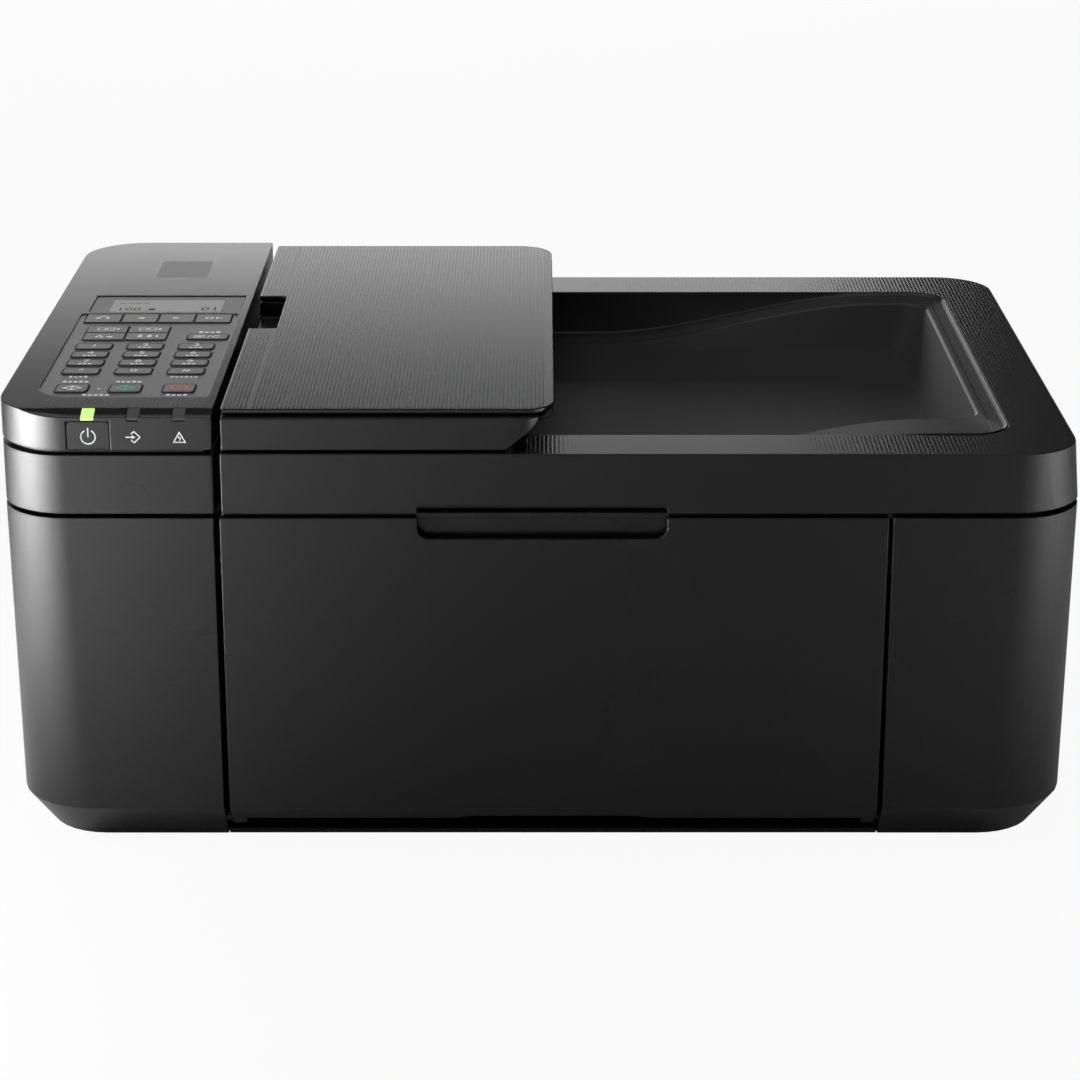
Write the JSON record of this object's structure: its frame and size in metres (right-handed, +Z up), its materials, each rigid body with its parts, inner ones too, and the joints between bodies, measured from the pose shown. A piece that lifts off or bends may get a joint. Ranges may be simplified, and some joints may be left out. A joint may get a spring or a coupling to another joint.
{
  "type": "inkjet printer",
  "caption": "Compact black inkjet printer with a flatbed scanner, a document feeder on the lid, an output recess, a key panel with a display and a drop-down front cover.",
  "frame": {"origin": "centre of the bounding box in plan, on the surface the printer stands on", "axes": "+X to the right seen from the front, +Y to the back, +Z up"},
  "size_m": [0.435, 0.295, 0.189],
  "materials": {
    "case_black": "fine satin texture",
    "cover_black": "satin moulded plastic",
    "panel_black": "satin moulded plastic",
    "plate_grey": "matt dark grey",
    "key_grey": "matt dark grey",
    "inner_black": "matt moulded plastic",
    "window_clear": "clear window over a grey display",
    "glass_clear": "float glass",
    "pad_white": "white foam sheet",
    "steel": "zinc plated sheet and ground shafts",
    "rubber_grey": "matt rubber",
    "board_green": "solder mask",
    "belt_black": "toothed belt",
    "alloy": "turned alloy"
  },
  "bodies": {
    "printer_body": {"main_case": "case_black", "base_pan": "inner_black", "feet": "rubber_grey", "output_tray": "inner_black", "chassis_frame": "steel", "drive_belt": "belt_black", "carriage_motor": "steel", "service_station": "inner_black", "power_supply": "inner_black", "main_board": "board_green", "scanner_frame": "case_black", "platen_glass": "glass_clear", "operation_panel": "panel_black", "key_plate": "plate_grey", "panel_windows": "window_clear"},
    "front_cover": {"front_cover": "cover_black"},
    "document_cover": {"document_cover": "cover_black", "platen_pad": "pad_white"},
    "document_tray": {"document_tray": "panel_black"},
    "adf_cover": {"adf_cover": "cover_black"},
    "rear_cover": {"rear_cover": "cover_black"},
    "carriage": {"carriage": "inner_black", "ink_cartridges": "inner_black"},
    "scan_bar": {"scan_bar": "inner_black"},
    "output_extension": {"output_extension": "inner_black"},
    "front_guide": {"front_guide": "inner_black"},
    "guide_left": {"guide_left": "inner_black"},
    "guide_right": {"guide_right": "inner_black"},
    "document_guide_front": {"document_guide_front": "inner_black"},
    "document_guide_rear": {"document_guide_rear": "inner_black"},
    "feed_roller": {"feed_roller": "steel"},
    "exit_roller": {"exit_roller": "rubber_grey"},
    "pick_roller": {"pick_roller": "rubber_grey"},
    "adf_roller": {"adf_roller": "rubber_grey"},
    "drive_pulley": {"drive_pulley": "alloy"},
    "power_button": {"power_button": "panel_black"},
    "soft_key_1": {"soft_key_1": "key_grey"},
    "soft_key_2": {"soft_key_2": "key_grey"},
    "soft_key_3": {"soft_key_3": "key_grey"},
    "soft_key_4": {"soft_key_4": "key_grey"},
    "mode_key_1": {"mode_key_1": "key_grey"},
    "mode_key_2": {"mode_key_2": "key_grey"},
    "mode_key_3": {"mode_key_3": "key_grey"},
    "mode_key_4": {"mode_key_4": "key_grey"},
    "menu_key": {"menu_key": "key_grey"},
    "start_black_key": {"start_black_key": "key_grey"},
    "start_color_key": {"start_color_key": "key_grey"},
    "stop_key": {"stop_key": "key_grey"},
    "number_key_1": {"number_key_1": "key_grey"},
    "number_key_2": {"number_key_2": "key_grey"},
    "number_key_3": {"number_key_3": "key_grey"},
    "number_key_4": {"number_key_4": "key_grey"},
    "number_key_5": {"number_key_5": "key_grey"},
    "number_key_6": {"number_key_6": "key_grey"},
    "number_key_7": {"number_key_7": "key_grey"},
    "number_key_8": {"number_key_8": "key_grey"},
    "number_key_9": {"number_key_9": "key_grey"},
    "number_key_10": {"number_key_10": "key_grey"},
    "number_key_11": {"number_key_11": "key_grey"},
    "number_key_12": {"number_key_12": "key_grey"}
  },
  "joints": [
    {"name": "document_cover_hinge", "type": "hinge", "parent": "printer_body", "child": "document_cover", "pos_m": [0, 0.1425, 0.1505], "axis": [-1, 0, 0], "range_deg": [0, 75]},
    {"name": "front_cover_hinge", "type": "hinge", "parent": "printer_body", "child": "front_cover", "pos_m": [0.00485, -0.1365, 0.012], "axis": [1, 0, 0], "range_deg": [0, 90]},
    {"name": "document_tray_hinge", "type": "hinge", "parent": "adf_cover", "child": "document_tray", "pos_m": [0.0019, 0, 0.1836], "axis": [0, 1, 0], "range_deg": [0, 135]},
    {"name": "adf_cover_hinge", "type": "hinge", "parent": "document_cover", "child": "adf_cover", "pos_m": [-0.009, 0, 0.181], "axis": [0, 1, 0], "range_deg": [0, 26]},
    {"name": "rear_cover_hinge", "type": "hinge", "parent": "printer_body", "child": "rear_cover", "pos_m": [0.00485, 0.1425, 0.03], "axis": [-1, 0, 0], "range_deg": [0, 85]},
    {"name": "carriage_slide", "type": "slide", "parent": "printer_body", "child": "carriage", "axis": [-1, 0, 0], "range_m": [0, 0.25]},
    {"name": "scan_bar_slide", "type": "slide", "parent": "printer_body", "child": "scan_bar", "axis": [1, 0, 0], "range_m": [0, 0.305]},
    {"name": "output_extension_slide", "type": "slide", "parent": "printer_body", "child": "output_extension", "axis": [0, -1, 0], "range_m": [0, 0.0645]},
    {"name": "front_guide_slide", "type": "slide", "parent": "front_cover", "child": "front_guide", "axis": [0, 0, 1], "range_m": [0, 0.033]},
    {"name": "guide_left_slide", "type": "slide", "parent": "printer_body", "child": "guide_left", "axis": [1, 0, 0], "range_m": [0, 0.05]},
    {"name": "guide_right_slide", "type": "slide", "parent": "printer_body", "child": "guide_right", "axis": [-1, 0, 0], "range_m": [0, 0.05]},
    {"name": "document_guide_front_slide", "type": "slide", "parent": "adf_cover", "child": "document_guide_front", "axis": [0, 1, 0], "range_m": [0, 0.03]},
    {"name": "document_guide_rear_slide", "type": "slide", "parent": "adf_cover", "child": "document_guide_rear", "axis": [0, -1, 0], "range_m": [0, 0.03]},
    {"name": "power_button_press", "type": "slide", "parent": "printer_body", "child": "power_button", "axis": [0, 1, 0], "range_m": [0, 0.0008], "stiffness_N_per_m": 400},
    {"name": "feed_roller_spin", "type": "hinge", "parent": "printer_body", "child": "feed_roller", "pos_m": [0.00485, 0.03, 0.062], "axis": [1, 0, 0], "continuous": true},
    {"name": "exit_roller_spin", "type": "hinge", "parent": "printer_body", "child": "exit_roller", "pos_m": [0.00485, -0.046, 0.06], "axis": [1, 0, 0], "continuous": true},
    {"name": "pick_roller_spin", "type": "hinge", "parent": "printer_body", "child": "pick_roller", "pos_m": [0.00485, 0.064, 0.038], "axis": [1, 0, 0], "continuous": true},
    {"name": "adf_roller_spin", "type": "hinge", "parent": "document_cover", "child": "adf_roller", "pos_m": [-0.112, 0, 0.1628], "axis": [0, 1, 0], "continuous": true},
    {"name": "drive_pulley_spin", "type": "hinge", "parent": "printer_body", "child": "drive_pulley", "pos_m": [-0.1499, 0.017, 0.099], "axis": [0, 0, 1], "continuous": true},
    {"name": "soft_key_1_press", "type": "slide", "parent": "printer_body", "child": "soft_key_1", "axis": [0, 0, -1], "range_m": [0, 0.0008], "stiffness_N_per_m": 400},
    {"name": "soft_key_2_press", "type": "slide", "parent": "printer_body", "child": "soft_key_2", "axis": [0, 0, -1], "range_m": [0, 0.0008], "stiffness_N_per_m": 400},
    {"name": "soft_key_3_press", "type": "slide", "parent": "printer_body", "child": "soft_key_3", "axis": [0, 0, -1], "range_m": [0, 0.0008], "stiffness_N_per_m": 400},
    {"name": "soft_key_4_press", "type": "slide", "parent": "printer_body", "child": "soft_key_4", "axis": [0, 0, -1], "range_m": [0, 0.0008], "stiffness_N_per_m": 400},
    {"name": "mode_key_1_press", "type": "slide", "parent": "printer_body", "child": "mode_key_1", "axis": [0, 0, -1], "range_m": [0, 0.0008], "stiffness_N_per_m": 400},
    {"name": "mode_key_2_press", "type": "slide", "parent": "printer_body", "child": "mode_key_2", "axis": [0, 0, -1], "range_m": [0, 0.0008], "stiffness_N_per_m": 400},
    {"name": "mode_key_3_press", "type": "slide", "parent": "printer_body", "child": "mode_key_3", "axis": [0, 0, -1], "range_m": [0, 0.0008], "stiffness_N_per_m": 400},
    {"name": "mode_key_4_press", "type": "slide", "parent": "printer_body", "child": "mode_key_4", "axis": [0, 0, -1], "range_m": [0, 0.0008], "stiffness_N_per_m": 400},
    {"name": "menu_key_press", "type": "slide", "parent": "printer_body", "child": "menu_key", "axis": [0, 0, -1], "range_m": [0, 0.0008], "stiffness_N_per_m": 400},
    {"name": "start_black_key_press", "type": "slide", "parent": "printer_body", "child": "start_black_key", "axis": [0, 0, -1], "range_m": [0, 0.0008], "stiffness_N_per_m": 400},
    {"name": "start_color_key_press", "type": "slide", "parent": "printer_body", "child": "start_color_key", "axis": [0, 0, -1], "range_m": [0, 0.0008], "stiffness_N_per_m": 400},
    {"name": "stop_key_press", "type": "slide", "parent": "printer_body", "child": "stop_key", "axis": [0, 0, -1], "range_m": [0, 0.0008], "stiffness_N_per_m": 400},
    {"name": "number_key_1_press", "type": "slide", "parent": "printer_body", "child": "number_key_1", "axis": [0, 0, -1], "range_m": [0, 0.0008], "stiffness_N_per_m": 400},
    {"name": "number_key_2_press", "type": "slide", "parent": "printer_body", "child": "number_key_2", "axis": [0, 0, -1], "range_m": [0, 0.0008], "stiffness_N_per_m": 400},
    {"name": "number_key_3_press", "type": "slide", "parent": "printer_body", "child": "number_key_3", "axis": [0, 0, -1], "range_m": [0, 0.0008], "stiffness_N_per_m": 400},
    {"name": "number_key_4_press", "type": "slide", "parent": "printer_body", "child": "number_key_4", "axis": [0, 0, -1], "range_m": [0, 0.0008], "stiffness_N_per_m": 400},
    {"name": "number_key_5_press", "type": "slide", "parent": "printer_body", "child": "number_key_5", "axis": [0, 0, -1], "range_m": [0, 0.0008], "stiffness_N_per_m": 400},
    {"name": "number_key_6_press", "type": "slide", "parent": "printer_body", "child": "number_key_6", "axis": [0, 0, -1], "range_m": [0, 0.0008], "stiffness_N_per_m": 400},
    {"name": "number_key_7_press", "type": "slide", "parent": "printer_body", "child": "number_key_7", "axis": [0, 0, -1], "range_m": [0, 0.0008], "stiffness_N_per_m": 400},
    {"name": "number_key_8_press", "type": "slide", "parent": "printer_body", "child": "number_key_8", "axis": [0, 0, -1], "range_m": [0, 0.0008], "stiffness_N_per_m": 400},
    {"name": "number_key_9_press", "type": "slide", "parent": "printer_body", "child": "number_key_9", "axis": [0, 0, -1], "range_m": [0, 0.0008], "stiffness_N_per_m": 400},
    {"name": "number_key_10_press", "type": "slide", "parent": "printer_body", "child": "number_key_10", "axis": [0, 0, -1], "range_m": [0, 0.0008], "stiffness_N_per_m": 400},
    {"name": "number_key_11_press", "type": "slide", "parent": "printer_body", "child": "number_key_11", "axis": [0, 0, -1], "range_m": [0, 0.0008], "stiffness_N_per_m": 400},
    {"name": "number_key_12_press", "type": "slide", "parent": "printer_body", "child": "number_key_12", "axis": [0, 0, -1], "range_m": [0, 0.0008], "stiffness_N_per_m": 400}
  ],
  "couplings": [
    {"joint": "output_extension_slide", "follows": "front_cover_hinge", "m_per_rad": 0.041},
    {"joint": "guide_right_slide", "follows": "guide_left_slide", "ratio": 1},
    {"joint": "document_guide_rear_slide", "follows": "document_guide_front_slide", "ratio": 1},
    {"joint": "exit_roller_spin", "follows": "feed_roller_spin", "ratio": 1.2},
    {"joint": "pick_roller_spin", "follows": "feed_roller_spin", "ratio": 0.54546},
    {"joint": "drive_pulley_spin", "follows": "carriage_slide", "rad_per_m": -200}
  ]
}
